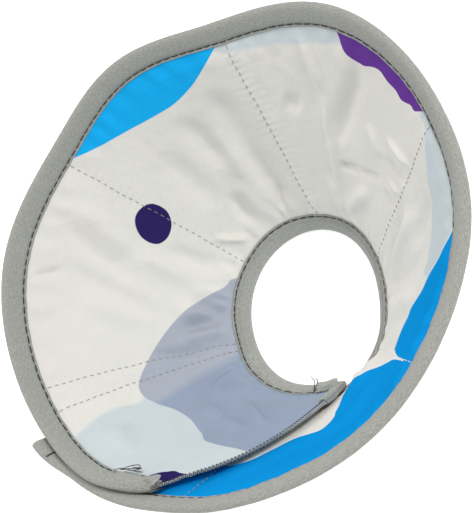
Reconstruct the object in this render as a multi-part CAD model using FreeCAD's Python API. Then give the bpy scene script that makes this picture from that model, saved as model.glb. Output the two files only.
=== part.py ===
import FreeCAD, Part
import math
import os

Vec = FreeCAD.Vector
os.makedirs("parts", exist_ok=True)

# A soft padded cone collar, standing on its neck edge with its wide mouth up.
# Origin: the middle of the neck opening, in the plane the collar stands on. +Z runs up to the mouth.
# Lengths are in mm and angles in degrees.

# ---- neck edge, an oval in the plane z = 0 ----
NECK_RADIUS = 40.0
NECK_OVAL = 3.5          # the oval's long half-axis less the mean radius
NECK_OVAL_TURN = 58.0    # direction of the oval's long axis

# ---- rim edge, place by place round the neck ----
# neck angle, how far the rim point is turned on from it, rim radius about the rim's own axis, rim height
RIM_PLACES = (
    (164, 4.5, 123, 88),
    (187, 4.0, 122, 94),
    (209, 3.0, 121, 97),
    (238, 2.0, 125, 95),
    (267, 1.0, 128, 91),
    (297, 2.0, 126, 90),
    (327, 3.5, 119, 94),
    (361, 6.5, 119, 105),
    (394, 8.0, 112, 105),
    (422, 7.0, 118, 109),
    (450, 4.0, 116, 105),
    (483, 3.5, 119, 104),
)
RIM_AXIS_X = -1.7
RIM_AXIS_Y = -4.6

# ---- the sheet, from the tucked-under end round to the free edge on top ----
TUCKED_END = 162.0
FREE_EDGE_RIM = 565.0
FREE_EDGE_NECK = 603.0   # the free edge slants, so its neck corner reaches further round
FOLDS = (210.0, 268.0, 326.0, 393.0, 452.0, 521.0)   # the sewn lines the sheet turns on
SECTIONS = ("under_flap", "side_low", "side_right", "back", "side_top", "side_left", "over_flap")
FLAP_SPACING = 5.4       # between the middles of the two flaps where they overlap
SPACING_STARTS = 292.0   # where the sheet starts to move outward to pass under the flap
SPACING_FULL = 240.0
SLOPE_OUT = 0.75         # share of the flap spacing taken along the radius at the rim
SLOPE_DOWN = 0.66        # share taken downward at the rim

# ---- the layers ----
CLOTH = 0.4              # lining and outer cloth
PADDING = 2.0
LAYER_GAP = 0.1
TAPE = 0.8               # folded edge tape
RIM_TAPE_WIDTH = 12.0
NECK_TAPE_WIDTH = 10.8
EDGE_BACK = 3.1          # from the end of a tape to the end of the cloth inside it
FOLD_BACK = 1.5          # each section stops this far short of a fold
FLAP_FOLD_BACK = 2.6     # the same at the two folds that turn furthest
THREAD_RADIUS = 0.5

# ---- fastener strips and sewn flap edges ----
LOOP_THICKNESS = 1.0
LOOP_FROM, LOOP_TO = 533.0, 557.0
HOOK_THICKNESS = 0.9
HOOK_FROM, HOOK_TO = 179.0, 191.0
STRIP_NECK_END, STRIP_RIM_END = 0.16, 0.84   # shares of the slant length
OVERLOCK_WIDTH = 2.6
OVERLOCK_THICKNESS = 0.4
OVERLOCK_GAP = 0.3
OVERLOCK_END_GAP = 1.5   # from each end of the overlock to the tape there

STATIONS = 7             # cross-sections in each lofted piece
CURVE_POINTS = 5         # points up the sheet in each cross-section
SMALL_SHARE = 0.01       # step up the sheet for finding its direction
FLOOR_TRIM = 1.0         # the neck tape is lofted this far under the floor and trimmed flat
FLOOR_REACH = 100.0
UNDER_FLOOR = Part.makeBox(
    2 * FLOOR_REACH, 2 * FLOOR_REACH, FLOOR_REACH, Vec(-FLOOR_REACH, -FLOOR_REACH, -FLOOR_REACH)
)


def rim_value(column, angle):
    """Smooth value of one column of RIM_PLACES at a neck angle, running on round the collar."""
    first = RIM_PLACES[0][0]
    turned = (angle - first) % 360.0 + first
    rows = [(row[0], row[column]) for row in RIM_PLACES]
    rows = [(rows[-1][0] - 360, rows[-1][1])] + rows
    rows += [(place + 360, value) for place, value in rows[1:3]]
    k = 1
    while rows[k + 1][0] <= turned:
        k += 1
    (x0, y0), (x1, y1), (x2, y2), (x3, y3) = rows[k - 1:k + 3]
    step = x2 - x1
    t = (turned - x1) / step
    slope1 = (y2 - y0) / (x2 - x0) * step
    slope2 = (y3 - y1) / (x3 - x1) * step
    return (
        (2 * t**3 - 3 * t**2 + 1) * y1
        + (t**3 - 2 * t**2 + t) * slope1
        + (3 * t**2 - 2 * t**3) * y2
        + (t**3 - t**2) * slope2
    )


def outward(angle):
    """How far the sheet stands outside its own other end at a neck angle."""
    t = (SPACING_STARTS - angle) / (SPACING_STARTS - SPACING_FULL)
    t = min(max(t, 0.0), 1.0)
    return FLAP_SPACING * t * t * (3 - 2 * t)


def neck_point(angle):
    turn = math.radians(angle)
    radius = NECK_RADIUS + NECK_OVAL * math.cos(2 * (turn - math.radians(NECK_OVAL_TURN)))
    radius += outward(angle) / SLOPE_OUT
    return Vec(radius * math.cos(turn), radius * math.sin(turn), 0)


def rim_point(angle):
    turn = math.radians(angle + rim_value(1, angle))
    radius = rim_value(2, angle) + SLOPE_OUT * outward(angle)
    height = rim_value(3, angle) - SLOPE_DOWN * outward(angle)
    return Vec(RIM_AXIS_X + radius * math.cos(turn), RIM_AXIS_Y + radius * math.sin(turn), height)


def sheet_point(angle, share):
    """Point on the middle of the sheet, a share of the way from the neck edge to the rim edge."""
    return neck_point(angle) * (1 - share) + rim_point(angle) * share


def sheet_out(angle, share):
    """The sheet's outward direction there."""
    around = sheet_point(angle + 1, share) - sheet_point(angle - 1, share)
    return around.cross(rim_point(angle) - neck_point(angle)).normalize()


class Station:
    """A line up the sheet from one angle at the neck to another at the rim; straight if they are equal."""

    def __init__(self, neck_angle, rim_angle):
        self.neck_angle = neck_angle
        self.rim_angle = rim_angle
        self.length = (rim_point(rim_angle) - neck_point(neck_angle)).Length

    def at(self, share, offset):
        angle = self.neck_angle + (self.rim_angle - self.neck_angle) * share
        return sheet_point(angle, share) + sheet_out(angle, share) * offset

    def beside(self, share, distance, offset):
        """Point in the flat cross-section at one share of the line, a distance further up it."""
        up = (self.at(share + SMALL_SHARE, 0) - self.at(share - SMALL_SHARE, 0)).normalize()
        out = self.at(share, 1) - self.at(share, 0)
        return self.at(share, 0) + up * distance + out * offset

    def from_neck(self, distance, offset):
        return self.beside(0, distance, offset)

    def from_rim(self, distance, offset):
        return self.beside(1, -distance, offset)

    def below_floor(self, offset):
        """Where the line at this offset comes out under the plane z = 0."""
        low = self.from_neck(0, offset)
        high = self.from_neck(NECK_TAPE_WIDTH, offset)
        return low + (high - low) * ((-FLOOR_TRIM - low.z) / (high.z - low.z))

    def curve(self, first, last, offset):
        """The line from one share of the length to another, as a smooth edge."""
        step = (last - first) / (CURVE_POINTS - 1)
        curve = Part.BSplineCurve()
        curve.interpolate([self.at(first + k * step, offset) for k in range(CURVE_POINTS)])
        return curve.toShape()


def stations(start, end, end_neck, back_start=0.0, back_end=0.0):
    """Stations from one angle to another, each end moved in by a distance in mm.
    The last one meets the neck at end_neck, which is the same as end unless the edge slants."""
    neck_deg = math.degrees(1 / NECK_RADIUS)
    rim_deg = math.degrees(1 / rim_value(2, start))
    found = []
    for k in range(STATIONS):
        t = k / (STATIONS - 1)
        neck_angle = (start + back_start * neck_deg) * (1 - t) + (end_neck - back_end * neck_deg) * t
        rim_angle = (start + back_start * rim_deg) * (1 - t) + (end - back_end * rim_deg) * t
        found.append(Station(neck_angle, rim_angle))
    return found


def closed(points):
    return Part.makePolygon(points + [points[0]])


def loft(wires):
    return Part.makeLoft(wires, True, False)


def sheet_piece(places, inner, outer, low, high):
    """A piece of the sheet between two offsets and two shares of the way up."""
    wires = []
    for s in places:
        inside = s.curve(low, high, inner)
        outside = s.curve(low, high, outer)
        foot = Part.makeLine(inside.Vertexes[0].Point, outside.Vertexes[0].Point)
        head = Part.makeLine(inside.Vertexes[-1].Point, outside.Vertexes[-1].Point)
        wires.append(Part.Wire([inside, head, outside, foot]))
    faces = Part.makeLoft(wires, False, False).Faces
    for s in (places[0], places[-1]):
        faces.append(Part.makeRuledSurface(s.curve(low, high, inner), s.curve(low, high, outer)))
    shell = Part.Shell(faces)
    shell.sewShape()
    return Part.Solid(shell)


def layer(places, inner, outer):
    """One layer of the sheet between two offsets, from the neck tape's fold to the rim tape's."""
    edge = EDGE_BACK / places[0].length
    return sheet_piece(places, inner, outer, edge, 1 - edge)


def rim_tape(places):
    """Tape folded over the rim edge, round at the fold."""
    slot = PADDING / 2 + CLOTH + 2 * LAYER_GAP
    skin = slot + TAPE
    wires = []
    for s in places:
        inside = Part.LineSegment(s.from_rim(RIM_TAPE_WIDTH, -skin), s.from_rim(skin, -skin))
        nose = Part.Arc(s.from_rim(skin, -skin), s.from_rim(0, 0), s.from_rim(skin, skin))
        outline = [inside, nose]
        corners = [
            s.from_rim(skin, skin),
            s.from_rim(RIM_TAPE_WIDTH, skin),
            s.from_rim(RIM_TAPE_WIDTH, slot),
            s.from_rim(EDGE_BACK - LAYER_GAP, slot),
            s.from_rim(EDGE_BACK - LAYER_GAP, -slot),
            s.from_rim(RIM_TAPE_WIDTH, -slot),
            s.from_rim(RIM_TAPE_WIDTH, -skin),
        ]
        for a, b in zip(corners, corners[1:]):
            outline.append(Part.LineSegment(a, b))
        wires.append(Part.Wire([edge.toShape() for edge in outline]))
    return loft(wires)


def neck_tape(places):
    """Tape folded over the neck edge, flat underneath where the collar stands on it."""
    slot = PADDING / 2 + CLOTH + 2 * LAYER_GAP
    skin = slot + TAPE
    wires = []
    for s in places:
        wires.append(closed([
            s.below_floor(-skin),
            s.from_neck(NECK_TAPE_WIDTH, -skin),
            s.from_neck(NECK_TAPE_WIDTH, -slot),
            s.from_neck(EDGE_BACK - LAYER_GAP, -slot),
            s.from_neck(EDGE_BACK - LAYER_GAP, slot),
            s.from_neck(NECK_TAPE_WIDTH, slot),
            s.from_neck(NECK_TAPE_WIDTH, skin),
            s.below_floor(skin),
        ]))
    return loft(wires).cut(UNDER_FLOOR)


def strip(start, end, inner, outer):
    """A fastener strip lying on the sheet."""
    return sheet_piece(stations(start, end, end), inner, outer, STRIP_NECK_END, STRIP_RIM_END)


def overlock(s, side):
    """Thread band wrapped over a flap's raw edge; side is +1 where the sheet ends and -1 where it starts."""
    slot = PADDING / 2 + CLOTH + LAYER_GAP + OVERLOCK_GAP
    skin = slot + OVERLOCK_THICKNESS
    nose = OVERLOCK_GAP + OVERLOCK_THICKNESS
    outline = (
        (-OVERLOCK_WIDTH, -skin),
        (nose, -skin),
        (nose, skin),
        (-OVERLOCK_WIDTH, skin),
        (-OVERLOCK_WIDTH, slot),
        (OVERLOCK_GAP, slot),
        (OVERLOCK_GAP, -slot),
        (-OVERLOCK_WIDTH, -slot),
    )
    first = (NECK_TAPE_WIDTH + OVERLOCK_END_GAP) / s.length
    last = 1 - (RIM_TAPE_WIDTH + OVERLOCK_END_GAP) / s.length
    step = (last - first) / (CURVE_POINTS - 1)
    wires = []
    for k in range(CURVE_POINTS):
        share = first + k * step
        middle = s.at(share, 0)
        out = s.at(share, 1) - middle
        along = s.at(share + SMALL_SHARE, 0) - s.at(share - SMALL_SHARE, 0)
        across = along.cross(out).normalize() * side
        wires.append(closed([middle + across * x + out * y for x, y in outline]))
    return loft(wires)


def fold_thread(angle):
    """Sewing thread along a fold, between the two tapes; the fold turns about its middle."""
    s = Station(angle, angle)
    low = s.from_neck(NECK_TAPE_WIDTH + 1, 0)
    run = s.from_rim(RIM_TAPE_WIDTH + 1, 0) - low
    return Part.makeCylinder(THREAD_RADIUS, run.Length, low, run)


def fold_back(angle):
    """How far a section stops short of this end: the free ends are not cut back."""
    if angle in (TUCKED_END, FREE_EDGE_RIM):
        return 0.0
    if angle in (FOLDS[0], FOLDS[-1]):
        return FLAP_FOLD_BACK
    return FOLD_BACK


solids = {}
half = PADDING / 2
bounds = (TUCKED_END,) + FOLDS + (FREE_EDGE_RIM,)
for name, start, end in zip(SECTIONS, bounds, bounds[1:]):
    end_neck = FREE_EDGE_NECK if end == FREE_EDGE_RIM else end
    places = stations(start, end, end_neck, fold_back(start), fold_back(end))
    solids["padding_" + name] = layer(places, -half, half)
    solids["lining_" + name] = layer(places, -half - LAYER_GAP - CLOTH, -half - LAYER_GAP)
    solids["outer_cloth_" + name] = layer(places, half + LAYER_GAP, half + LAYER_GAP + CLOTH)
    solids["rim_tape_" + name] = rim_tape(places)
    solids["neck_tape_" + name] = neck_tape(places)

for number, angle in enumerate(FOLDS, 1):
    solids["fold_thread_" + str(number)] = fold_thread(angle)

face = half + 2 * LAYER_GAP + CLOTH
solids["loop_strip"] = strip(LOOP_FROM, LOOP_TO, face, face + LOOP_THICKNESS)
solids["hook_strip"] = strip(HOOK_FROM, HOOK_TO, -face - HOOK_THICKNESS, -face)
solids["overlock_over_flap"] = overlock(Station(FREE_EDGE_NECK, FREE_EDGE_RIM), 1)
solids["overlock_under_flap"] = overlock(Station(TUCKED_END, TUCKED_END), -1)

for name, shape in solids.items():
    if shape.Volume < 0:
        shape = shape.reversed()
    shape.exportStep("parts/" + name + ".step")
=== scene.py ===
import math
import bpy
import numpy as np
from mathutils import Matrix, Vector


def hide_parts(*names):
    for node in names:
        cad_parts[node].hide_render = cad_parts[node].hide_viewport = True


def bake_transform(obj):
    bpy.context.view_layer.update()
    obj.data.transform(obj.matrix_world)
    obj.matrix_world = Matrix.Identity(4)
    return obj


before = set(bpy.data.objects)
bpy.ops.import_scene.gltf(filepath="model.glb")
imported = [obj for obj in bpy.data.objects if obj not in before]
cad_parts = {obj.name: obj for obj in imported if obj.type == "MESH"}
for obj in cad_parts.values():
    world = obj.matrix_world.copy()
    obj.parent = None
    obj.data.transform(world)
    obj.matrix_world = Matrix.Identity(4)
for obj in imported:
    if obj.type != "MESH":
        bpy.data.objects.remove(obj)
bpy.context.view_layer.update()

# A padded cone collar. Shapes are worked out in mm and degrees, as in the CAD source, and made in metres.
# A place on the sheet is (angle round the neck, share of the way from the neck edge to the rim edge).
MM = 0.001
RANDOM = np.random.default_rng(11)

# ---- the sheet: the CAD's cone, with its two free ends moved a little ----
NECK_RADIUS, NECK_OVAL, NECK_OVAL_TURN = 40.0, 3.5, 58.0
# neck angle, how far the rim point is turned on from it, rim radius about the rim's own axis, rim height
RIM_PLACES = np.array((
    (164, 4.5, 123, 88), (187, 4.0, 122, 94), (209, 3.0, 121, 97), (238, 2.0, 125, 95),
    (267, 1.0, 128, 91), (297, 2.0, 126, 90), (327, 3.5, 119, 94), (361, 6.5, 119, 105),
    (394, 8.0, 112, 105), (422, 7.0, 118, 109), (450, 4.0, 116, 105), (483, 3.5, 119, 104),
), float)
RIM_AXIS = (-1.7, -4.6)
TUCKED_END, FREE_RIM, FREE_NECK = 163.4, 560.5, 607.5
FOLDS = (210.0, 268.0, 326.0, 393.0, 452.0, 521.0)
BODIES = ("under_flap", "side_low", "side_right", "back", "side_top", "side_left", "over_flap")
FLAP_SPACING, SPACING_STARTS, SPACING_FULL = 5.4, 292.0, 240.0
SLOPE_OUT, SLOPE_DOWN = 0.75, 0.66
SLANT = 128.0            # about how long the sheet is from neck to rim
RIM_TAPE, NECK_TAPE = 12.0, 10.8      # tape widths

# ---- how the cloth is cut into pieces, one for each fold it bends at ----
SEAMS = (TUCKED_END, 239.0, 297.0, 359.5, 422.5, 486.5, FREE_RIM)
COLUMN_STEP = 0.5        # degrees

# ---- quilting: the angle of each sewn line at the rim and at the neck ----
QUILTING = ((208, 212), (270.9, 271), (325, 329), (392, 390), (452, 451), (513, 509), (520, 515))
FULL_HALF, SEWN_HALF, EDGE_HALF = 1.6, 0.5, 0.75    # half thicknesses of the padded cloth


def ease(t):
    t = np.clip(t, 0.0, 1.0)
    return t * t * (3 - 2 * t)


def rim_value(column, angle):
    places, values = RIM_PLACES[:, 0], RIM_PLACES[:, column]
    x = np.r_[places[-1] - 360, places, places[:2] + 360]
    y = np.r_[values[-1], values, values[:2]]
    turned = (angle - places[0]) % 360 + places[0]
    i = np.clip(np.searchsorted(x, turned, side="right") - 1, 1, len(x) - 3)
    step = x[i + 1] - x[i]
    t = (turned - x[i]) / step
    slope1 = (y[i + 1] - y[i - 1]) / (x[i + 1] - x[i - 1]) * step
    slope2 = (y[i + 2] - y[i]) / (x[i + 2] - x[i]) * step
    return (
        (2 * t**3 - 3 * t**2 + 1) * y[i] + (t**3 - 2 * t**2 + t) * slope1
        + (3 * t**2 - 2 * t**3) * y[i + 1] + (t**3 - t**2) * slope2
    )


def outward(angle):
    return FLAP_SPACING * ease((SPACING_STARTS - angle) / (SPACING_STARTS - SPACING_FULL))


def neck_point(angle):
    turn = np.radians(angle)
    radius = NECK_RADIUS + NECK_OVAL * np.cos(2 * (turn - math.radians(NECK_OVAL_TURN)))
    radius = radius + outward(angle) / SLOPE_OUT
    return np.stack([radius * np.cos(turn), radius * np.sin(turn), 0 * radius], -1)


def rim_point(angle):
    turn = np.radians(angle + rim_value(1, angle))
    radius = rim_value(2, angle) + SLOPE_OUT * outward(angle)
    height = rim_value(3, angle) - SLOPE_DOWN * outward(angle)
    return np.stack([RIM_AXIS[0] + radius * np.cos(turn), RIM_AXIS[1] + radius * np.sin(turn), height], -1)


TURNED_IN, ROUNDED_OFF = 0.026, 0.034        # how far the corner is drawn in, as shares of the sheet


def corner_lift(angle, share):
    """How far up the sheet the over flap's rounded rim corner is drawn, as a share of its length."""
    drawn = TURNED_IN * ease((angle - 543) / 14) + ROUNDED_OFF * np.clip((angle - 550) / 11, 0, 1) ** 3
    return drawn * ease((share - 0.6) / 0.4)


def sheet_point(angle, share):
    share = np.asarray(share, float)
    share = (share - corner_lift(angle, share))[..., None]
    return neck_point(angle) * (1 - share) + rim_point(angle) * share


def sheet_out(angle, share):
    around = sheet_point(angle + 1, share) - sheet_point(angle - 1, share)
    out = np.cross(around, rim_point(angle) - neck_point(angle))
    return out / np.linalg.norm(out, axis=-1, keepdims=True)


def mm_per_degree(angle, share):
    return np.linalg.norm(sheet_point(angle + 0.5, share) - sheet_point(angle - 0.5, share), axis=-1)


def slanted(column, share):
    """Angle of a column named by its rim angle: the over flap's columns lean to its free edge."""
    lean = (FREE_NECK - FREE_RIM) / (FREE_RIM - FOLDS[-1])
    rounded = np.minimum(1 - share, 0.74 + 1.6 * share)      # the neck corner is folded back
    return column + np.maximum(column - FOLDS[-1], 0) * lean * rounded


FLAT_NECK_RADIUS, FLAT_PER_TURN = 62.0, 0.64


def unrolled(angle, share):
    """The cone laid flat, in mm."""
    radius = FLAT_NECK_RADIUS + SLANT * np.asarray(share)
    turn = np.radians(FLAT_PER_TURN * np.asarray(angle))
    return np.stack([radius * np.cos(turn), radius * np.sin(turn)], -1)


# ---- soft shape: creases, puckers and padding ----
# ridges (+ is outward, - towards the inside): start, end, half width in mm, height in mm
CREASE_DEPTH = 1.5
CREASES = (
    ((370.5, 0.88), (366.6, 0.64), 2.3, -1.8),
    ((366.7, 0.66), (366.2, 0.20), 2.3, -1.9),
    ((352.5, 0.84), (365, 0.43), 5.0, 3.2),
    ((365.5, 0.342), (352, 0.372), 2.0, 1.8),
    ((353, 0.368), (340, 0.43), 1.8, 1.6),
    ((364, 0.14), (345, 0.34), 4.2, -2.8),
    ((371, 0.30), (366, 0.12), 4.0, -1.8),
    ((341, 0.62), (327, 0.645), 1.8, -1.4),
    ((339, 0.54), (326, 0.572), 1.8, 1.3),
    ((336, 0.47), (327, 0.49), 1.6, -1.1),
    ((338, 0.396), (328, 0.412), 1.5, 1.2),
    ((350, 0.60), (341, 0.52), 3.0, -1.3),
    ((382, 0.62), (376, 0.58), 5.0, 1.3),
    ((403, 0.74), (404, 0.42), 7.0, 2.2),
    ((404, 0.50), (405, 0.17), 6.0, 2.4),
    ((412, 0.56), (413, 0.14), 5.5, -1.8),
    ((418, 0.68), (417, 0.40), 6.5, 2.0),
    ((425, 0.31), (430, 0.16), 3.4, 1.9),
    ((418, 0.34), (421, 0.14), 4.0, -1.4),
    ((402, 0.26), (412, 0.13), 2.4, 1.5),
    ((432, 0.62), (434, 0.30), 7.0, 1.4),
    ((449, 0.25), (436, 0.11), 2.0, -1.6),
    ((463, 0.42), (461, 0.15), 4.5, 1.7),
    ((461, 0.84), (470, 0.50), 5.5, -1.7),
    ((469, 0.54), (474, 0.24), 5.0, -1.6),
    ((467, 0.88), (480, 0.46), 5.0, 1.4),
    ((478, 0.80), (492, 0.38), 5.0, 1.7),
    ((488, 0.72), (497, 0.42), 5.0, -1.4),
    ((484.5, 0.91), (480, 0.76), 2.2, 1.5),
    ((499, 0.32), (489, 0.09), 4.0, 2.3),
    ((482, 0.26), (490, 0.09), 4.0, 2.0),
    ((491, 0.30), (488, 0.12), 3.4, -1.6),
    ((505, 0.34), (498, 0.09), 4.0, -2.0),
    ((508, 0.46), (512, 0.20), 2.6, 1.3),
    ((537, 0.31), (533, 0.13), 4.6, -3.2),
    ((549, 0.13), (538, 0.21), 4.0, -2.0),
    ((541, 0.39), (556, 0.39), 5.0, -1.7),
    ((555, 0.39), (568, 0.46), 4.6, -1.7),
    ((552, 0.236), (576, 0.404), 3.2, -2.2),
    ((545, 0.80), (530, 0.74), 7.0, -1.8),
    ((316, 0.74), (307, 0.45), 5.0, 2.0),
    ((318, 0.56), (309, 0.18), 4.6, -2.2),
    ((326, 0.50), (308, 0.09), 3.4, 2.0),
    ((304, 0.55), (298, 0.15), 4.5, 1.6),
    ((291, 0.50), (287, 0.16), 5.0, -1.6),
    ((264, 0.34), (242, 0.62), 9.0, -1.5),
    ((254, 0.72), (240, 0.52), 7.0, 1.2),
    ((234, 0.56), (216, 0.80), 8.0, 1.2),
    ((286, 0.86), (264, 0.80), 6.0, -1.0),
    ((250, 0.44), (246, 0.20), 6.0, 1.2),
)
KINKS = (0.0, 0.8, 1.8, 3.2, 1.2, 0.6, 0.8)   # how far the sheet stands in along each sewn line
PUCKER_PITCH, PUCKER_REACH = 3.7, 4.2


def wavering(x, seed):
    """Smooth wandering value between about -1 and 1."""
    slow, middling = np.sin(0.7 * x + 1.3 * seed), np.sin(1.31 * x + 2.4 * seed)
    return (slow + middling + np.sin(2.17 * x + 0.7 * seed)) / 2.4


def small_creases():
    """Random short soft creases, running mostly up the sheet."""
    found = []
    for _ in range(70):
        angle, share = RANDOM.uniform(222, 520), RANDOM.uniform(0.16, 0.86)
        lean, length = RANDOM.uniform(-9, 9), RANDOM.uniform(0.06, 0.2)
        height = RANDOM.uniform(0.1, 0.32) * RANDOM.choice((-1, 1))
        width = RANDOM.uniform(2.4, 5.5)
        found.append(((angle - lean, share - length), (angle + lean, share + length), width, height))
    return found


ALL_CREASES = list(CREASES) + small_creases()


def creased(angle, share):
    place = unrolled(angle, share)
    total = np.zeros(place.shape[:-1])
    for (a, s), (b, t), width, height in ALL_CREASES:
        start, end = unrolled(a, s), unrolled(b, t)
        run = end - start
        along = (place - start) @ run / (run @ run)
        away = np.linalg.norm(place - start - np.clip(along, 0, 1)[..., None] * run, axis=-1)
        taper = ease(1.2 * (1 - np.abs(2 * along - 1)) + 0.15)
        total += CREASE_DEPTH * height * np.exp(-(away / width) ** 2) * taper
    return total


def edge_distances(angle, share):
    """Distance in mm from the neck edge and from the rim edge."""
    share = np.asarray(share, float)
    return share * SLANT, (1 - share) * SLANT


def line_distance(angle, share, line):
    at_rim, at_neck = line
    return (angle - (at_neck + (at_rim - at_neck) * share)) * mm_per_degree(angle, share)


def free_distance(angle, share):
    """Distance in mm from the nearer free end of the sheet."""
    per = mm_per_degree(angle, share)
    return np.minimum((slanted(FREE_RIM, share) - angle) * per, (angle - TUCKED_END) * per)


def middle(angle, share):
    """How far the middle of the soft sheet stands outward of the plain cone."""
    from_neck, from_rim = edge_distances(angle, share)
    free = ease((from_neck - 6) / 16) * ease((from_rim - 7) / 14)
    calm = 0.15 + 0.85 * ease((angle - 216) / 16)
    total = creased(angle, share) * free * calm
    for number, line in enumerate(QUILTING):
        away = line_distance(angle, share, line)
        phase = 2 * np.pi * share * SLANT / PUCKER_PITCH + 1.4 * wavering(share * 9, number + 1)
        side = np.tanh(away / 1.2)
        total -= KINKS[number] * free * np.exp(-np.abs(away) / 13)
        fits = 0.16 + 0.08 * wavering(share * 31, number + 4)
        total += fits * calm * free * np.sin(phase + 0.9 * side) * np.exp(-np.abs(away) / PUCKER_REACH)
    ripple = np.sin(np.radians(angle) * 122 * 2 * np.pi / 15 + 2.2 * wavering(angle * 0.11, 3))
    total += 0.5 * calm * ripple * np.exp(-((from_rim - 17) / 7) ** 2) * ease((from_rim - 8) / 8)
    gather = np.sin(np.radians(angle) * 46 * 2 * np.pi / 8.5 + 2.0 * wavering(angle * 0.13, 5))
    total += 0.55 * calm * gather * np.exp(-((from_neck - 16) / 8) ** 2) * ease((from_neck - 8) / 8)
    over = ease((angle - 528) / 14)
    total = total * (1 - over) - over * np.abs(total) * 0.8
    low = np.exp(-((angle - 260) / 9.5) ** 2) * np.exp(-((share - 0.17) / 0.09) ** 2)
    low = low * ease((from_neck - 7) / 8)
    corner = ease((angle - 572) / 28) * ease((0.35 - share) / 0.35)
    near = ease((angle - 212) / 26) * ease((340 - angle) / 45)
    flare = 1.5 * np.exp(-(from_rim / 45) ** 2) + 2.3 * from_rim / 13 * np.exp(1 - from_rim / 13)
    bulge = 3.0 * np.exp(-((angle - 251) / 7.5) ** 2) * np.exp(-((from_neck - 22) / 13) ** 2)
    bulge = bulge * ease((from_neck - 4) / 9)
    wide = 1.9 * np.exp(-((angle - 281) / 17) ** 2) * np.exp(-(from_neck / 34) ** 2)
    return total - 2.4 * low + 1.7 * corner - near * flare - bulge + wide


def half(angle, share):
    """Half the thickness of the padded cloth: pinched at sewn lines, tapes and free ends."""
    from_neck, from_rim = edge_distances(angle, share)
    pinch = np.ones(np.broadcast(angle, share).shape)
    for line in QUILTING:
        away = line_distance(angle, share, line)
        pinch = np.minimum(pinch, 1 - np.exp(-(np.abs(away) / 6.5) ** 1.25))
    full = SEWN_HALF + (FULL_HALF - SEWN_HALF) * pinch
    tape = ease(np.minimum(from_neck - NECK_TAPE, from_rim - RIM_TAPE) / 9)
    end = ease((free_distance(angle, share) - 1.5) / 9)
    limit = EDGE_HALF + (FULL_HALF - EDGE_HALF) * np.minimum(tape, end)
    return np.minimum(full, limit)


def surface(angle, share, face, lift=0.0):
    """Points on a face of the cloth (-1 lining, +1 outer cloth), lifted off it by a distance."""
    depth = middle(angle, share) + face * (half(angle, share) + lift)
    return sheet_point(angle, share) + sheet_out(angle, share) * depth[..., None]


# ---- meshes ----
def new_mesh(name, points, faces, material, smooth=True):
    mesh = bpy.data.meshes.new(name)
    mesh.from_pydata((points * MM).tolist(), [], faces)
    mesh.polygons.foreach_set("use_smooth", [smooth] * len(mesh.polygons))
    mesh.materials.append(material)
    mesh.update()
    thing = bpy.data.objects.new(name, mesh)
    bpy.context.scene.collection.objects.link(thing)
    return thing


def give(thing, name, values):
    """Stores a value for each vertex, for the material to read."""
    values = np.asarray(values, np.float32)
    kind = "FLOAT_VECTOR" if values.ndim == 2 else "FLOAT"
    attribute = thing.data.attributes.new(name, kind, "POINT")
    attribute.data.foreach_set("vector" if values.ndim == 2 else "value", values.ravel())


def sweep(name, grid, material, pattern=None):
    """A closed skin through cross-sections. grid is columns x points round x 3, with one spare column at
    each end that only gives the shading its direction. pattern is the same grid, for the material."""
    along = grid[2:] - grid[:-2]
    around = np.roll(grid, -1, 1) - np.roll(grid, 1, 1)
    normals = np.cross(around[1:-1], along)
    normals /= np.maximum(np.linalg.norm(normals, axis=-1, keepdims=True), 1e-9)
    body = grid[1:-1]
    count, ring = body.shape[:2]
    if np.sum(normals * (body - body.mean(1, keepdims=True))) < 0:
        normals, flip = -normals, True
    else:
        flip = False
    a = (np.arange(count - 1)[:, None] * ring + np.arange(ring)[None]).ravel()
    b = (np.arange(count - 1)[:, None] * ring + np.roll(np.arange(ring), -1)[None]).ravel()
    quads = np.stack([a, a + ring, b + ring, b] if flip else [a, b, b + ring, a + ring], -1).tolist()
    base = count * ring
    first, last = list(range(base, base + ring)), list(range(base + ring, base + 2 * ring))
    caps = [first[::-1] if not flip else first, last if not flip else last[::-1]]
    points = np.concatenate([body.reshape(-1, 3), body[0], body[-1]])
    facing = along / np.maximum(np.linalg.norm(along, axis=-1, keepdims=True), 1e-9)
    shading = np.concatenate([normals.reshape(-1, 3), -facing[0], facing[-1]])
    thing = new_mesh(name, points, quads + caps, material)
    thing.data.normals_split_custom_set_from_vertices(shading.tolist())
    if pattern is not None:
        inner = pattern[1:-1]
        give(thing, "place", np.concatenate([inner.reshape(-1, 3), inner[0], inner[-1]]))
    return thing


def wrapped(along, round_count, step, offset):
    """The material's places on a roll: distance along it, distance round it in steps, and an offset."""
    shape = (len(along), round_count)
    return np.stack([np.broadcast_to(along[:, None], shape),
                     np.broadcast_to(np.arange(round_count)[None] * step, shape),
                     np.full(shape, float(offset))], -1)


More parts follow.
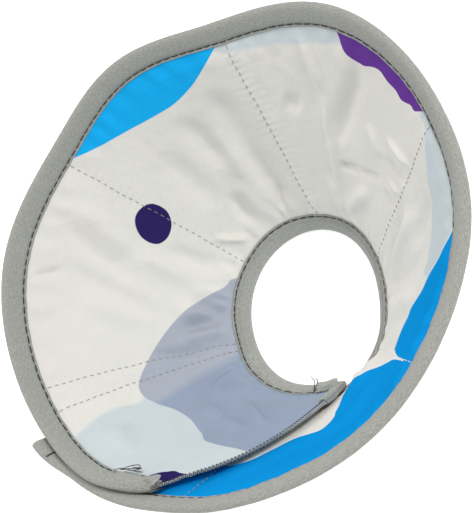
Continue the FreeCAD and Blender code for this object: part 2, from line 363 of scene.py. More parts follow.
def tubes(name, paths, radius, material, sides=6, ends=0.35):
    """Many short closed tubes in one mesh. paths is tubes x points x 3."""
    paths = np.asarray(paths, float)
    many, count = paths.shape[:2]
    along = np.gradient(paths, axis=1)
    along /= np.maximum(np.linalg.norm(along, axis=-1, keepdims=True), 1e-9)
    guide = np.where(np.abs(along[..., 2:]) > 0.9, np.array([1.0, 0, 0]), np.array([0, 0, 1.0]))
    side = np.cross(along, guide)
    side /= np.linalg.norm(side, axis=-1, keepdims=True)
    up = np.cross(along, side)
    t = np.linspace(-1, 1, count)
    size = radius * np.maximum(np.sqrt(np.clip(1 - np.abs(t) ** 6, 0, 1)), ends)
    turn = 2 * np.pi * np.arange(sides) / sides
    ring = np.cos(turn)[:, None] * side[:, :, None] + np.sin(turn)[:, None] * up[:, :, None]
    points = paths[:, :, None] + ring * size[None, :, None, None]
    faces = []
    for k in range(many):
        start = k * count * sides
        for i in range(count - 1):
            for j in range(sides):
                a, b = start + i * sides + j, start + i * sides + (j + 1) % sides
                faces.append((a, b, b + sides, a + sides))
        faces.append(tuple(start + j for j in range(sides))[::-1])
        faces.append(tuple(start + (count - 1) * sides + j for j in range(sides)))
    return new_mesh(name, points.reshape(-1, 3), faces, material)


def bend(thing, nodes=()):
    """Bakes the piece's placement into its mesh and hides these CAD nodes, which it stands for."""
    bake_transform(thing)
    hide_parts(*nodes)
    return thing


def columns(region, step=COLUMN_STEP):
    """Angles of a region's columns, closer together by its sewn lines, with a spare one at each end."""
    start, end = SEAMS[region], SEAMS[region + 1]
    places = list(np.arange(start, end + 0.01, step))
    for line in QUILTING:
        for at in sorted(set(line)):
            places += [at + d for d in np.arange(-2.25, 2.3, 0.25) if start < at + d < end]
    places = np.unique(np.round(places, 3))
    keep = [places[0]]
    for place in places[1:]:
        if place - keep[-1] > 0.12:
            keep.append(place)
    keep[-1] = end
    return np.array([start - 0.25] + keep + [end + 0.25])


# ---- the print, and a painted shade on the over flap: outlines on the sheet, as (angle, share) ----
PRINT_AND_SHADE = {
    "pale": (
        ((402, 1.1), (398, 0.93), (394, 0.878), (388, 0.865), (382, 0.852), (375, 0.845), (368, 0.844),
         (360, 0.86), (354, 0.92), (350, 1.1)),
        ((334, 1.1), (330.4, 0.892), (327.2, 0.876), (324.8, 0.844), (321.6, 0.788), (318, 0.74),
         (313.6, 0.70), (309.6, 0.692), (305.6, 0.66), (300, 0.61), (294, 0.60), (292, 1.1)),
        ((533, 1.1), (528.5, 0.92), (527, 0.85), (525, 0.76), (524.5, 0.68), (526, 0.60), (526, 0.50),
         (560, 0.40), (640, 0.40), (660, 1.1)),
    ),
    "lavender": (
        ((455, -0.1), (463, 0.09), (471, 0.128), (480, 0.20), (489.5, 0.285), (500, 0.375), (509, 0.46),
         (517, 0.54), (520.5, 0.562), (524.5, 0.562), (529, 0.535), (536, 0.49), (545, 0.482), (555, 0.53),
         (566, 0.59), (620, 0.64), (650, -0.1)),
    ),
    # shade is painted shade, not print: a darker, bluer copy of the lavender past the over flap's fold, where
    # the flap turns from the light
    "shade": (
        ((518, -0.1), (521, 0.13), (524, 0.28), (527, 0.42), (533, 0.60), (560, 0.75), (650, 0.75),
         (650, -0.1)),
    ),
    "sky": (
        ((470, 1.1), (455, 0.96), (444, 0.853), (433.5, 0.783), (424, 0.742), (416, 0.738), (408, 0.777),
         (401, 0.84), (393, 0.93), (380, 1.1)),
    ),
    "blue": (
        ((304, 1.1), (301, 0.94), (298.4, 0.852), (294.8, 0.668), (290.8, 0.588), (286, 0.47),
         (279.2, 0.428), (273.6, 0.42), (272.4, 0.435), (271.5, 0.48), (271.0, 0.54), (270.95, 0.64),
         (270.95, 0.80), (270.95, 1.1)),
        ((270.65, 1.1), (270.65, 0.80), (270.4, 0.63), (270.1, 0.53), (269.5, 0.472), (268.3, 0.434),
         (266.8, 0.38), (263.8, 0.29), (260.5, 0.235), (256.5, 0.21), (253.5, 0.194), (250, 0.175),
         (247.3, 0.17), (245.2, 0.178), (243.7, 0.195), (242.4, 0.22), (241.4, 0.26), (241.1, 0.31),
         (241.4, 0.38), (240.2, 0.445), (238, 0.476), (234.8, 0.463), (230, 0.452), (226.8, 0.468),
         (224.4, 0.50), (221.2, 0.548), (218, 0.604), (213, 0.64), (207, 0.642), (200, 0.70), (198, 0.85),
         (192, 1.1)),
    ),
    "purple": (
        ((366, 1.1), (360.5, 0.92), (358, 0.85), (355, 0.82), (352, 0.823), (349, 0.845), (345.5, 0.853),
         (341.5, 0.843), (338, 0.838), (334.5, 0.856), (330.5, 0.89), (322, 1.1)),
    ),
    "dark": (
        ((449.2, 0.54), (448.7, 0.478), (452.1, 0.433), (457.7, 0.419), (462.2, 0.441), (463.1, 0.489),
         (461.1, 0.54), (457.1, 0.574), (452.6, 0.571)),
        ((551, 0.95), (555.5, 0.905), (557.6, 0.884), (560, 0.868), (563, 0.862), (566, 0.868),
         (571, 0.90), (560.5, 1.0)),
    ),
}
# the outer cloth's print: angle, share, radius in mm, colour
OUTER_PRINT = (
    (186, 0.62, 24, "sky"), (226, 0.25, 19, "lavender"), (236, 0.78, 26, "pale"), (259, 0.52, 11, "dark"),
    (283, 0.82, 25, "blue"), (298, 0.30, 20, "pale"), (322, 0.62, 24, "lavender"), (345, 0.88, 19, "purple"),
    (352, 0.28, 17, "sky"), (377, 0.60, 22, "pale"), (398, 0.88, 23, "blue"), (409, 0.30, 12, "dark"),
    (433, 0.68, 25, "lavender"), (457, 0.24, 20, "sky"), (468, 0.90, 22, "pale"), (489, 0.58, 13, "purple"),
    (512, 0.84, 26, "blue"), (531, 0.34, 22, "pale"), (556, 0.66, 20, "lavender"),
)


def smooth_outline(corners):
    """Rounded closed outline through the corners."""
    before = np.array(corners, float)
    after, previous, following = np.roll(before, -1, 0), np.roll(before, 1, 0), np.roll(before, -2, 0)
    t = np.linspace(0, 1, 5)[:-1, None, None]
    slope1, slope2 = (after - previous) / 2, (following - before) / 2
    curve = (
        (2 * t**3 - 3 * t**2 + 1) * before + (t**3 - 2 * t**2 + t) * slope1
        + (3 * t**2 - 2 * t**3) * after + (t**3 - t**2) * slope2
    )
    curve = curve.transpose(1, 0, 2).reshape(-1, 2)
    return unrolled(curve[:, 0], curve[:, 1])


def signed_distance(place, outline):
    """Distance in mm from each place to an outline, positive inside it."""
    best = np.full(len(place), 1e9)
    inside = np.zeros(len(place), bool)
    for (x1, y1), (x2, y2) in zip(outline, np.roll(outline, -1, 0)):
        dx, dy = x2 - x1, y2 - y1
        px, py = place[:, 0] - x1, place[:, 1] - y1
        t = np.clip((px * dx + py * dy) / max(dx * dx + dy * dy, 1e-9), 0, 1)
        best = np.minimum(best, (px - t * dx) ** 2 + (py - t * dy) ** 2)
        crosses = (y1 > place[:, 1]) != (y2 > place[:, 1])
        if dy:
            inside ^= crosses & (px < py * dx / dy)
    return np.sqrt(best) * np.where(inside, 1, -1)


OUTLINES = {colour: [smooth_outline(shape) for shape in shapes] for colour, shapes in PRINT_AND_SHADE.items()}


def store_print_and_shade(thing, angle, share, is_outer):
    """Stores how far each vertex is inside each colour of the print, and inside the painted shade of the
    lavender.
    """
    place = unrolled(angle, share)
    for colour in PRINT_AND_SHADE:
        value = np.full(len(place), -50.0)
        lining = ~is_outer
        for outline in OUTLINES[colour]:
            low, high = outline.min(0) - 6, outline.max(0) + 6
            near = lining & np.all((place > low) & (place < high), axis=1)
            if near.any():
                value[near] = np.maximum(value[near], signed_distance(place[near], outline))
        for number, (a, s, radius, name) in enumerate(OUTER_PRINT):
            if name == colour:
                away = place - unrolled(a, s)
                turn = np.arctan2(away[:, 1], away[:, 0])
                wave = 1 + 0.2 * np.sin(2 * turn + number) + 0.1 * np.sin(3 * turn + 2.1 * number)
                inside = radius * wave - np.linalg.norm(away, axis=1)
                value = np.where(is_outer, np.maximum(value, inside), value)
        give(thing, "print_" + colour, np.clip(value, -50, 50))


# ---- materials ----
def colour(red, green, blue):
    """Linear colour from 0-255 values."""
    values = [v / 255 for v in (red, green, blue)]
    return [v / 12.92 if v <= 0.04045 else ((v + 0.055) / 1.055) ** 2.4 for v in values] + [1.0]


class Finish:
    """A node material with short calls for the nodes used here."""

    def __init__(self, name, roughness, sheen=0.0, **sockets):
        self.material = bpy.data.materials.new(name)
        self.material.use_nodes = True
        self.tree = self.material.node_tree
        self.shader = self.tree.nodes["Principled BSDF"]
        self.shader.inputs["Roughness"].default_value = roughness
        self.shader.inputs["Sheen Weight"].default_value = sheen
        for key, value in sockets.items():
            self.shader.inputs[key.replace("_", " ")].default_value = value

    def join(self, value, socket):
        if isinstance(value, bpy.types.NodeSocket):
            self.tree.links.new(value, socket)
        else:
            socket.default_value = value

    def stored(self, name, output="Fac"):
        made = self.tree.nodes.new("ShaderNodeAttribute")
        made.attribute_name = name
        return made.outputs[output]

    def sum(self, operation, *values, clamp=False):
        made = self.tree.nodes.new("ShaderNodeMath")
        made.operation = operation
        made.use_clamp = clamp
        for value, socket in zip(values, made.inputs):
            self.join(value, socket)
        return made.outputs[0]

    def mix(self, share, first, second):
        made = self.tree.nodes.new("ShaderNodeMix")
        made.data_type = "RGBA"
        self.join(share, made.inputs[0])
        self.join(first, made.inputs[6])
        self.join(second, made.inputs[7])
        return made.outputs[2]

    def stretched(self, place, scale, turn=0.0):
        made = self.tree.nodes.new("ShaderNodeMapping")
        self.join(place, made.inputs["Vector"])
        made.inputs["Scale"].default_value = scale
        made.inputs["Rotation"].default_value = (0, 0, math.radians(turn))
        return made.outputs[0]

    def noise(self, place, scale, detail=2.0):
        made = self.tree.nodes.new("ShaderNodeTexNoise")
        self.join(place, made.inputs["Vector"])
        made.inputs["Scale"].default_value = scale
        made.inputs["Detail"].default_value = detail
        return made.outputs[0]

    def ribs(self, place, pitch, turn, distort=0.0):
        """Fine parallel ribs, a pitch in mm apart."""
        made = self.tree.nodes.new("ShaderNodeTexWave")
        self.join(self.stretched(place, (1, 1, 1), turn), made.inputs["Vector"])
        made.inputs["Scale"].default_value = 0.314 / pitch
        made.inputs["Distortion"].default_value = distort
        made.inputs["Detail"].default_value = 1.0
        return made.outputs[1]

    def bump(self, height, distance, strength=1.0, under=None):
        made = self.tree.nodes.new("ShaderNodeBump")
        made.inputs["Strength"].default_value = strength
        made.inputs["Distance"].default_value = distance
        self.join(height, made.inputs["Height"])
        if under is not None:
            self.join(under, made.inputs["Normal"])
        return made.outputs[0]

    def finish(self, base, normal=None, roughness=None):
        self.join(base, self.shader.inputs["Base Color"])
        if normal is not None:
            self.join(normal, self.shader.inputs["Normal"])
        if roughness is not None:
            self.join(roughness, self.shader.inputs["Roughness"])
        return self.material


GROUND = colour(236, 233, 225)
# colours of the print, and shade: a painted shade of the lavender
PRINT_AND_SHADE_COLOURS = {
    "pale": colour(211, 220, 222), "lavender": colour(179, 184, 195), "shade": colour(158, 170, 190),
    "sky": colour(30, 182, 250), "blue": colour(16, 152, 226), "purple": colour(110, 64, 155),
    "dark": colour(50, 40, 97),
}
# the pale print has soft edges, and the painted shade fades in softly
SOFT_EDGES = {"pale": 0.45, "shade": 0.2}


def toned(value, factor):
    """A colour made lighter or darker, as a list with alpha."""
    return [min(v * factor, 1) for v in value[:3]] + [1]


def cloth_finish():
    cloth = Finish("satin_print_and_painted_shade", 0.46, Specular_IOR_Level=0.0)
    place = cloth.stored("place", "Vector")
    broad = cloth.noise(place, 0.035, 3.0)
    fine = cloth.noise(place, 1.3, 3.0)
    ground = cloth.mix(broad, toned(GROUND, 0.965), toned(GROUND, 1.03))
    ragged = cloth.sum("MULTIPLY", cloth.sum("SUBTRACT", fine, 0.5), 0.3)
    base = ground
    for name, value in PRINT_AND_SHADE_COLOURS.items():
        inside = cloth.sum("ADD", cloth.stored("print_" + name), ragged)
        if name == "blue":
            rim = cloth.sum("ADD", cloth.sum("MULTIPLY", cloth.sum("ADD", inside, 0.8), 3.0), 0.5, clamp=True)
            base = cloth.mix(rim, base, colour(243, 244, 240))
        # the painted shade darkens only the lavender, as a shaded copy of it
        if name == "shade":
            lavender = cloth.sum("ADD", cloth.stored("print_lavender"), ragged)
            inside = cloth.sum("MINIMUM", inside, cloth.sum("MULTIPLY", lavender, 9.0))
        steep = SOFT_EDGES.get(name, 3.2)
        sharp = cloth.sum("ADD", cloth.sum("MULTIPLY", inside, steep), 0.5, clamp=True)
        shade = cloth.mix(broad, toned(value, 0.93), toned(value, 1.05))
        base = cloth.mix(sharp, base, shade)
    weave = cloth.sum("ADD", cloth.ribs(place, 0.34, 0), cloth.ribs(place, 0.30, 90))
    threads = cloth.noise(cloth.stretched(place, (0.25, 3.0, 1)), 1.0, 2.0)
    speckle = cloth.sum("ADD", cloth.sum("MULTIPLY", threads, 0.07), 0.965)
    speckled = cloth.tree.nodes.new("ShaderNodeHueSaturation")
    cloth.join(base, speckled.inputs["Color"])
    cloth.join(speckle, speckled.inputs["Value"])
    soft = cloth.bump(cloth.noise(place, 0.16, 3.0), 0.0012, 0.5)
    normal = cloth.bump(weave, 0.00006, 0.5, under=soft)
    rough = cloth.sum("ADD", cloth.sum("MULTIPLY", fine, 0.12), 0.40)
    return cloth.finish(speckled.outputs[0], normal, rough)


def tape_finish(name, dark, light, pitch):
    tape = Finish(name, 0.85, sheen=0.15, Sheen_Roughness=0.5, Specular_IOR_Level=0.25)
    place = tape.stored("place", "Vector")
    first, second = tape.ribs(place, pitch, 45, 0.6), tape.ribs(place, pitch, -45, 0.6)
    weave = tape.sum("MULTIPLY", first, second)
    slub = tape.noise(tape.stretched(place, (0.5, 2.4, 1), 40), 1.0, 3.0)
    grain = tape.noise(place, 1.5, 2.0)
    broad = tape.noise(place, 0.09, 3.0)
    rough = tape.sum("ADD", tape.sum("MULTIPLY", slub, 1.1), tape.sum("MULTIPLY", grain, 0.9))
    tone = tape.sum("ADD", tape.sum("MULTIPLY", weave, 0.25), tape.sum("SUBTRACT", rough, 0.62), clamp=True)
    base = tape.mix(tone, dark, light)
    base = tape.mix(tape.sum("MULTIPLY", broad, 0.3), base, colour(152, 152, 145))
    height = tape.sum("ADD", weave, tape.sum("MULTIPLY", rough, 0.5))
    return tape.finish(base, tape.bump(height, 0.00026, 0.8))


def thread_finish(name, dark, light, roughness=0.7):
    thread = Finish(name, roughness, sheen=0.2)
    where = thread.tree.nodes.new("ShaderNodeTexCoord").outputs["Object"]
    twist = thread.noise(thread.stretched(where, (1600, 1600, 1600)), 1.0, 1.0)
    return thread.finish(thread.mix(twist, dark, light), thread.bump(twist, 0.00008, 0.6))


CLOTH = cloth_finish()
TAPE = tape_finish("bias_tape", colour(132, 133, 126), colour(212, 213, 205), 0.62)
ROLL = tape_finish("rolled_edge", colour(176, 176, 171), colour(228, 228, 222), 0.4)
GREY_THREAD = thread_finish("grey_thread", colour(120, 119, 114), colour(172, 170, 164))
DARK_THREAD = thread_finish("dark_thread", colour(24, 24, 26), colour(58, 58, 60))
WHITE_THREAD = thread_finish("white_thread", colour(205, 205, 200), colour(238, 238, 233))
STRIP = tape_finish("strip_tape", colour(134, 135, 130), colour(190, 191, 185), 0.5)
LOOPS = thread_finish("pile_loops", colour(158, 159, 153), colour(206, 207, 201))
HOOKS = thread_finish("moulded_hooks", colour(158, 160, 156), colour(196, 198, 194), 0.35)


# ---- the quilted cloth ----
SHARES = np.r_[
    np.linspace(0.026, 0.11, 14)[:-1], np.linspace(0.11, 0.89, 140), np.linspace(0.89, 0.974, 14)[1:],
]
for region in range(6):
    places = columns(region)
    share = np.broadcast_to(SHARES, (len(places), len(SHARES)))
    angle = slanted(places[:, None], share)
    grid = np.concatenate([surface(angle, share, -1), surface(angle, share, 1)[:, ::-1]], 1)
    both_angle = np.concatenate([angle, angle[:, ::-1]], 1)
    both_share = np.concatenate([share, share[:, ::-1]], 1)
    is_outer = np.zeros(both_angle.shape, bool)
    is_outer[:, len(SHARES):] = True
    flat = unrolled(both_angle, both_share)
    pattern = np.concatenate([flat, 40.0 * is_outer[..., None]], -1)
    cloth = sweep("quilted_cloth_" + str(region + 1), grid, CLOTH, pattern)

    def on_vertices(values):
        inner = values[1:-1]
        return np.concatenate([inner.reshape(-1), inner[0], inner[-1]])

    store_print_and_shade(cloth, on_vertices(both_angle), on_vertices(both_share), on_vertices(is_outer))
    sections = [BODIES[region]] + ([BODIES[6]] if region == 5 else [])
    nodes = [kind + section for section in sections for kind in ("padding_", "lining_", "outer_cloth_")]
    bend(cloth, nodes)


# ---- the edge tapes ----
# the tape's section from its edge on the lining to the middle of the fold, as distances from the fold and
# heights off the middle
TAPE_PROFILE = (
    (0.0, 0.80), (-0.15, 1.02), (0.0, 1.26), (0.4, 1.36), (0.8, 1.30), (1.1, 1.06), (1.45, 0.98), (1.8, 1.20),
    (2.3, 1.62), (3.1, 1.95),
)
TAPE_FOLD = (
    (7.0, 2.26), (5.6, 2.3), (4.2, 2.3), (3.0, 2.26), (2.0, 2.06), (1.2, 1.7), (0.6, 1.2), (0.2, 0.65),
    (0.0, 0.0),
)
TAPE_STITCH_BACK, TAPE_STITCH_PITCH = 1.3, 5.1


def tape_section(width):
    """Closed outline of a folded tape: round the outside, then back along the inside."""
    edge = [(width - back, height) for back, height in TAPE_PROFILE]
    outside = np.array(edge + [(width - 4.2, 2.15)] + list(TAPE_FOLD))
    inside = np.array((
        (width - 0.2, 0.66), (7.0, 0.7), (3.2, 0.7), (3.2, -0.7), (7.0, -0.7), (width - 0.2, -0.66),
    ))
    return np.concatenate([outside * (1, -1), outside[::-1][1:], inside])


def tape_point(column, distance, height, edge):
    """A point on a tape: edge 1 is the rim's and 0 the neck's."""
    share = 1 - distance / SLANT if edge else distance / SLANT
    share = np.broadcast_to(share, np.broadcast(column, share).shape)
    angle = slanted(column, share)
    depth = middle(angle, share) + height
    return sheet_point(angle, share) + sheet_out(angle, share) * depth[..., None]


def tape_width(column, edge):
    """Width of a tape: at the over flap's end the rim tape narrows to a tongue and the neck tape widens."""
    if not edge:
        return NECK_TAPE + 1.4 * ease((column - 505) / 25) + 5.0 * ease((column - 554.1) / 4.8)
    end = np.clip((column - 549) / (RIM_TAPE_END - 549), 0, 0.985)
    return RIM_TAPE * (1 - end ** 1.7) ** 0.5


def tape_pull(column, edge):
    """How far a tape stands out past its edge of the sheet, in mm."""
    if not edge:
        return 0 * column
    return 5.5 * ease((178 - column) / 14)


def folded_ends(column, distance, edge):
    """How much thicker a tape is where its end is folded back on itself."""
    if edge:
        start = 547 + 0.75 * np.maximum(8 - distance, 0)
        layers = 0.75 * ease((column - start) / 0.45)
        layers = layers + 0.3 * ease((column - 548.6) / 0.7) * ease((4 - distance) / 2)
        return 1 + layers * ease((RIM_TAPE_END + 0.4 - column) / 2.2)
    start = 552.9 + 0.18 * np.maximum(10.5 - distance, 0)
    layers = 0.6 * ease((column - start) / 0.45)
    return 1 + layers + 0.8 * ease((column - 555.9) / 2.6) * ease((distance - 8) / 8)


def tape_grid(places, edge):
    """Cross-sections of a tape at each column."""
    column = places[:, None]
    section = np.stack([tape_section(max(width, 5.0)) for width in tape_width(places, edge)])
    narrow = np.minimum(tape_width(column, edge) / 5.0, 1)
    along = places * (2.1 if edge else 0.75)
    puff = 1 + 0.035 * wavering(along * 0.21, 2 + edge) + 0.02 * wavering(along * 0.9, 6 + edge)
    ragged = 0.1 * wavering(along * 0.35, 4 + edge)
    distance, height = section[..., 0] * narrow, section[..., 1] * narrow ** 0.5
    back = tape_width(column, edge) - distance
    stitch = np.cos(2 * np.pi * along / TAPE_STITCH_PITCH)[:, None]
    groove = np.exp(-((back - TAPE_STITCH_BACK) / 0.8) ** 2)
    layers = folded_ends(column, distance, edge)
    layers = np.where(height < 0, layers, 1 + 0.1 * (layers - 1))
    height = height * puff[:, None] * layers * (1 - 0.12 * groove * (1 + stitch))
    shifted = distance + ease((distance - 6) / 4) * ragged[:, None] - tape_pull(column, edge)
    grid = tape_point(column, shifted, height, edge)
    if not edge:
        grid[..., 2] = np.maximum(grid[..., 2], 0.05)
    around = np.cumsum(np.linalg.norm(np.diff(section[0], axis=0, prepend=section[0][:1]), axis=1))
    pattern = np.stack([np.broadcast_to(along[:, None], height.shape),
                        np.broadcast_to(around[None], height.shape), 0 * height + 90 * edge], -1)
    return grid, pattern


RIM_TAPE_END, NECK_TAPE_END = 561.0, 560.9
for region in range(6):
    places = columns(region, 0.5)
    for edge, kind in ((1, "rim_tape_"), (0, "neck_tape_")):
        used = places
        if region == 5:
            last = RIM_TAPE_END if edge else NECK_TAPE_END
            used = np.r_[places[places < 545.5], np.arange(545.6, last - 0.1, 0.2), last, last + 0.2]
        grid, pattern = tape_grid(used, edge)
        tape = sweep(kind + "cover_" + str(region + 1), grid, TAPE, pattern)
        sections = [BODIES[region]] + ([BODIES[6]] if region == 5 else [])
        bend(tape, [kind + section for section in sections])

# the neck tape's end, rolled back down the free edge of the over flap
ROLL_WIDE, ROLL_THICK, ROLL_ROUND = 3.4, 2.3, 20      # half width, half thickness in mm, points round it
along = np.linspace(0.6, 30.5, 80)
swell = 0.9 + 0.1 * ease(along / 6) + 0.04 * wavering(along * 0.45, 3)
swell += 0.12 * np.exp(-((along - 23.6) / 1.5) ** 2) - 0.16 * np.exp(-((along - 26.0) / 0.6) ** 2)
swell -= 0.14 * np.exp(-((along - 28.4) / 0.5) ** 2) + 0.5 * ease((along - 29.0) / 1.5)
share = along / SLANT
edge_angle = slanted(FREE_RIM, share)
rolled = []
for turn in np.arange(ROLL_ROUND) * 2 * np.pi / ROLL_ROUND:
    lump = swell * (1 + 0.05 * np.sin(3 * turn + along * 0.21))
    angle = edge_angle - (1.3 - ROLL_WIDE * np.cos(turn) * lump) / mm_per_degree(edge_angle, share)
    depth = middle(edge_angle, share) - 0.3 + ROLL_THICK * np.sin(turn) * lump
    rolled.append(sheet_point(angle, share) + sheet_out(angle, share) * depth[:, None])
rolled = np.stack(rolled, 1)
rolled[..., 2] = np.maximum(rolled[..., 2], 0.05)
bend(sweep("neck_tape_roll", rolled, TAPE, wrapped(along, ROLL_ROUND, 0.9, 260)))


# ---- sewing ----
def stitches_along(length, pitch, dash):
    """Distances along a line and lifts off the cloth, for the points of each stitch in it."""
    count = int(length / pitch)
    starts = (np.arange(count) + 0.5) * length / count - dash / 2
    t = np.linspace(0, 1, 7)
    lift = -0.22 + 0.34 * np.sin(np.pi * t) ** 0.5
    return starts[:, None] + dash * t[None], np.broadcast_to(lift, (count, 7))


QUILT_PITCH, QUILT_DASH = 3.7, 2.5
for number, line in enumerate(QUILTING):
    at_rim, at_neck = line
    length = SLANT - RIM_TAPE - NECK_TAPE
    distance, lift = stitches_along(length, QUILT_PITCH, QUILT_DASH)
    share = (distance + NECK_TAPE) / SLANT
    strayed = 0.25 * wavering(share * 20, number) / mm_per_degree(at_rim, share)
    angle = at_neck + (at_rim - at_neck) * share + strayed
    paths = np.concatenate([surface(angle, share, face, lift) for face in (-1, 1)])
    sewn = tubes("quilting_" + str(number + 1), paths, 0.2, WHITE_THREAD if number == 1 else GREY_THREAD)
    region = min(number, 5)
    bend(sewn, ["fold_thread_" + str(region + 1)])

for edge, kind in ((1, "rim_stitches_"), (0, "neck_stitches_")):
    for region in range(6):
        start, end = SEAMS[region], SEAMS[region + 1]
        per = 2.13 if edge else 0.86
        if region == 5:
            end = 547.0 if edge else 553.2
        length = (end - start) * per * (1.5 if region == 5 and not edge else 1)
        distance, lift = stitches_along(length, TAPE_STITCH_PITCH if edge else 4.6, 4.5)
        column = start + distance / length * (end - start)
        where = tape_width(column, edge) - TAPE_STITCH_BACK + 0.12 * wavering(column * 0.8, 2)
        where = where - tape_pull(column, edge)
        paths = []
        for face in (-1, 1):
            paths.append(tape_point(column, where, face * (1.08 + lift), edge))
        sewn = tubes(kind + str(region + 1), np.concatenate(paths), 0.3, DARK_THREAD)
        bend(sewn)


def strand(corners, edge):
    """Points of a loose thread by a tape, through corners given as (column, distance, height)."""
    corners = np.array(corners, float)
    points = tape_point(corners[:, 0], corners[:, 1], corners[:, 2], edge)
    t = np.linspace(0, len(corners) - 1, 16)
    k = np.clip(t.astype(int), 0, len(corners) - 2)
    t = (t - k)[:, None]
    slope = np.gradient(points, axis=0)
    return (
        (2 * t**3 - 3 * t**2 + 1) * points[k] + (t**3 - 2 * t**2 + t) * slope[k]
        + (3 * t**2 - 2 * t**3) * points[k + 1] + (t**3 - t**2) * slope[k + 1]
    )


# thread ends left on the two corners of the over flap, and the bar tack near the tucked end
RIM_TAILS = (
    ((546.0, 12.0, -2.2), (548.6, 12.4, -3.6), (550.4, 14.2, -3.4), (549.2, 16.0, -2.6), (547.9, 14.6, -3.2)),
    ((545.2, 10.6, -2.4), (547.0, 11.8, -3.4), (549.2, 11.2, -3.6), (551.4, 12.2, -2.8), (552.6, 11.4, -3.4)),
    ((546.6, 11.4, -2.8), (548.0, 13.6, -4.2), (549.6, 15.0, -4.6), (550.8, 13.0, -3.8), (549.6, 11.6, -3.2)),
)
NECK_TAILS = (
    ((552.4, 11.0, -1.6), (553.4, 6.5, -3.6), (553.6, 2.4, -4.2), (552.9, 0.4, -4.8), (552.3, -1.0, -5.4)),
    ((552.6, 10.6, -1.8), (554.3, 7.0, -4.2), (555.0, 3.6, -5.2), (554.3, 1.2, -5.0), (554.8, 0.2, -4.2)),
    ((552.7, 11.2, -2.0), (554.5, 8.6, -3.0), (555.9, 5.6, -3.2), (556.9, 2.8, -3.0), (558.0, 1.0, -2.8)),
)
for name, tails, edge in (("rim", RIM_TAILS, 1), ("neck", NECK_TAILS, 0)):
    ends = tubes("thread_ends_" + name, [strand(tail, edge) for tail in tails], 0.22, DARK_THREAD, ends=0.7)
    bend(ends)
across = np.linspace(0.4, RIM_TAPE - 0.6, 9)
tack = [tape_point(168.2 + 0.14 * k + 0 * across, across - tape_pull(168.0, 1),
                   -np.where(across < 2, 2.0, 2.34) - 0.06 * (k % 2), 1) for k in range(3)]
bend(tubes("bar_tack", tack, 0.16, DARK_THREAD))


# ---- fastener strips, guessed: loops outside the over flap and hooks inside the under flap ----
STRIP_LOW, STRIP_HIGH = 0.16, 0.84


def strip_base(name, start, end, face, thickness):
    """The woven base of a strip, soft at its edges."""
    share = np.linspace(STRIP_LOW, STRIP_HIGH, 96)
    share = np.r_[share[0] - 0.004, share, share[-1] + 0.004][:, None]
    t = np.r_[0, 0.01, np.linspace(0.025, 0.975, 22), 0.99, 1][None]
    edge = ease(np.minimum(t, 1 - t) / 0.025) * ease(np.minimum(share - STRIP_LOW, STRIP_HIGH - share) / 0.01)
    angle = start + (end - start) * t + 0 * share
    share = share + 0 * t
    top = surface(angle, share, face, thickness * (0.45 + 0.55 * edge))
    under = surface(angle, share, face, 0.03)[:, ::-1]
    flat = unrolled(angle, share)
    flat = np.concatenate([flat, flat[:, ::-1]], 1)
    pattern = np.concatenate([flat, 60 + 0 * flat[..., :1]], -1)
    return sweep(name, np.concatenate([top, under], 1), STRIP, pattern)


def strip_pile(name, start, end, face, lift, pitch, shape, radius, material, loose):
    """A field of small loops or hooks: shape is (along, rise) in mm, and each turns up to loose degrees."""
    shape = np.array(shape)
    rows = int((STRIP_HIGH - STRIP_LOW) * SLANT / pitch)
    width = (end - start) * mm_per_degree((start + end) / 2, np.array(0.5))
    across, up = np.meshgrid(np.arange(1, int(width / pitch)), np.arange(1, rows), indexing="ij")
    place = (np.stack([across.ravel() * pitch / width, up.ravel() / rows])
             + RANDOM.uniform(-0.3, 0.3, (2, across.size)) * [[pitch / width], [1 / rows]])
    angle, share = start + (end - start) * place[0], STRIP_LOW + (STRIP_HIGH - STRIP_LOW) * place[1]
    base, out = surface(angle, share, face, lift), face * sheet_out(angle, share)
    upward = rim_point(angle) - neck_point(angle)
    upward /= np.linalg.norm(upward, axis=1, keepdims=True)
    turn = np.radians(RANDOM.uniform(-loose, loose, (len(angle), 1)) + 180 * (up.reshape(-1, 1) % 2))
    heading = upward * np.cos(turn) + np.cross(out, upward) * np.sin(turn)
    size = RANDOM.uniform(0.85, 1.1, (len(angle), 1, 1))
    size[..., 0] = np.minimum(size[..., 0], 1.0)
    paths = base[:, None] + (heading[:, None] * shape[None, :, :1] + out[:, None] * shape[None, :, 1:]) * size
    return tubes(name, paths, radius, material, sides=4, ends=0.8)


def strip_border(name, start, end, face, lift):
    """A row of stitches round a strip, 1.8 mm in from its edges."""
    low, high = STRIP_LOW + 1.8 / SLANT, STRIP_HIGH - 1.8 / SLANT
    paths = []
    along, rise = stitches_along((high - low) * SLANT, 3.0, 2.1)
    for side in (start, end):
        share = low + along / SLANT
        inset = 1.8 / mm_per_degree(side, share) * (1 if side == start else -1)
        paths.append(surface(side + inset, share, face, lift + rise))
    for share in (low, high):
        per = float(mm_per_degree(start, np.array(share)))
        width = (end - start) * per - 3.6
        along, rise = stitches_along(width, 3.0, 2.1)
        paths.append(surface(start + (1.8 + along) / per, share + 0 * along, face, lift + rise))
    return bend(tubes(name, np.concatenate(paths), 0.17, GREY_THREAD))


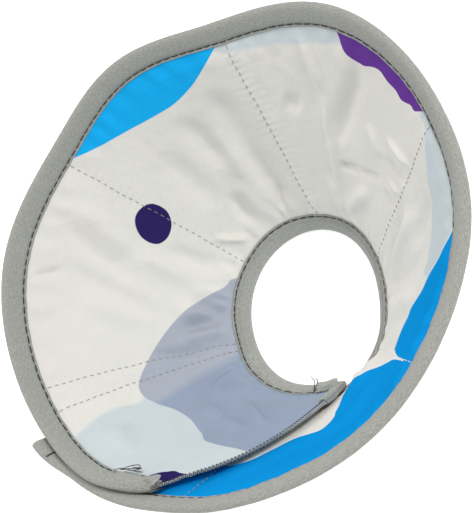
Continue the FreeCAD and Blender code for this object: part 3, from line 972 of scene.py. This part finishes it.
LOOP_SHAPE = ((-0.42, -0.05), (-0.30, 0.22), (-0.08, 0.40), (0.16, 0.38), (0.34, 0.20), (0.42, -0.05))
HOOK_SHAPE = ((0.0, -0.05), (0.0, 0.22), (0.06, 0.38), (0.2, 0.42), (0.32, 0.34), (0.36, 0.2))
for name, node, slot, region, face, start, end, base, pitch, shape, radius, material, loose in (
    ("loop", "loop_strip", "loop", 5, 1, 533.0, 557.0, 0.5, 1.25, LOOP_SHAPE, 0.06, LOOPS, 75),
    ("hook", "hook_strip", "hook", 0, -1, 179.0, 191.0, 0.42, 1.15, HOOK_SHAPE, 0.055, HOOKS, 8),
):
    bend(strip_base(name + "_tape", start, end, face, base), [node])
    pile = strip_pile(name + "_pile", start, end, face, base, pitch, shape, radius, material, loose)
    bend(pile)
    strip_border(name + "_stitches", start, end, face, base)


# ---- overlock on the two free ends: a rolled light edge with a dark zigzag sewn over it ----
OVERLOCK_PITCH = 1.9


def edge_path(column, side, share, inset, height):
    """Points by a free end: inset from it in mm, height off the middle of the cloth."""
    edge_angle = slanted(column, share)
    angle = edge_angle + side * inset / mm_per_degree(edge_angle, share)
    depth = middle(angle, share) + height(angle, share)
    return sheet_point(angle, share) + sheet_out(angle, share) * depth[..., None]


for name, column, side, region, section in (
    ("over", FREE_RIM, -1, 5, "over_flap"), ("under", TUCKED_END, 1, 0, "under_flap"),
):
    first, last = NECK_TAPE / SLANT, 1 - (RIM_TAPE if side > 0 else 3.0) / SLANT
    wraps = int((last - first) * SLANT / OVERLOCK_PITCH)
    t = np.arange(wraps * 8 + 1) / 8
    share = first + (last - first) * t / wraps
    stops = (0, 0.2, 0.3, 0.5, 0.7, 0.8, 1)
    width = 0.8 + 1.7 * ease((0.62 - share) / 0.45)
    inset = np.interp(t % 1.0, stops, (1, 0.0, 0.0, 1, 0.0, 0.0, 1)) * width - 0.35
    face = np.interp(t % 1.0, stops, (-1, -1, 1, 1, 1, -1, -1))
    path = edge_path(column, side, share, inset, lambda a, s: face * (half(a, s) + 0.14))
    thread = tubes("overlock_thread_" + name, path[None], 0.19, DARK_THREAD, sides=5, ends=1.0)
    bend(thread, ["overlock_" + section])
    share = np.linspace(first, last, 140)
    roll = []
    for turn in np.arange(12) * np.pi / 6:
        wobble = 1 + 0.07 * wavering(share * 60, 1 + turn)
        roll.append(edge_path(column, side, share, 0.3 - 0.6 * np.cos(turn) * wobble,
                              lambda a, s: 0.75 * np.sin(turn) * wobble))
    grid = np.stack(roll, 1)
    place = wrapped(share * SLANT, 12, 0.45, 200)
    bend(sweep("rolled_edge_" + name, grid, ROLL, place))


# ---- floor, light and camera ----
def plain(name, shade, glow):
    made = Finish(name, 0.9)
    made.shader.inputs["Base Color"].default_value = (shade, shade, shade, 1)
    made.shader.inputs["Emission Color"].default_value = (1, 1, 1, 1)
    made.shader.inputs["Emission Strength"].default_value = glow
    return made.material


floor_size = 3000.0
corners = np.array(((-1, -1, 0), (1, -1, 0), (1, 1, 0), (-1, 1, 0))) * floor_size
floor = new_mesh("floor", corners, [(0, 1, 2, 3)], plain("pale_floor", 0.9, 0.5), smooth=False)


def area_light(name, place, size, power):
    data = bpy.data.lights.new(name, "AREA")
    data.shape = "DISK"
    data.size = size
    data.energy = power
    lamp = bpy.data.objects.new(name, data)
    lamp.location = place
    lamp.rotation_euler = (Vector((0, 0, 0.06)) - Vector(place)).to_track_quat("-Z", "Y").to_euler()
    bpy.context.scene.collection.objects.link(lamp)


area_light("key", (0.85, -0.5, 1.2), 0.6, 9.6)
area_light("fill", (-0.7, 0.9, 1.0), 1.0, 6)
world = bpy.data.worlds.new("studio")
world.use_nodes = True
world.node_tree.nodes["Background"].inputs["Color"].default_value = (1, 1, 1, 1)
world.node_tree.nodes["Background"].inputs["Strength"].default_value = 0.62
bpy.context.scene.world = world
bpy.context.scene.view_settings.view_transform = "Standard"

TURN, RISE, ROLL = (math.radians(v) for v in (-0.76, 49.38, -54.58))
DISTANCE, SIDEWAYS, UPWARD = 0.8, -0.03899, 0.02504
back = Vector((math.sin(TURN) * math.cos(RISE), -math.cos(TURN) * math.cos(RISE), math.sin(RISE)))
level = Vector((math.cos(TURN), math.sin(TURN), 0))
upright = back.cross(level)
right = level * math.cos(ROLL) + upright * math.sin(ROLL)
up = upright * math.cos(ROLL) - level * math.sin(ROLL)
place = back * DISTANCE + right * SIDEWAYS + up * UPWARD
camera_data = bpy.data.cameras.new("camera")
camera_data.lens = 112.0
camera_data.clip_start = 0.01
camera = bpy.data.objects.new("camera", camera_data)
camera.matrix_world = Matrix((
    (right.x, up.x, back.x, place.x), (right.y, up.y, back.y, place.y),
    (right.z, up.z, back.z, place.z), (0, 0, 0, 1),
))
bpy.context.scene.collection.objects.link(camera)
bpy.context.scene.camera = camera
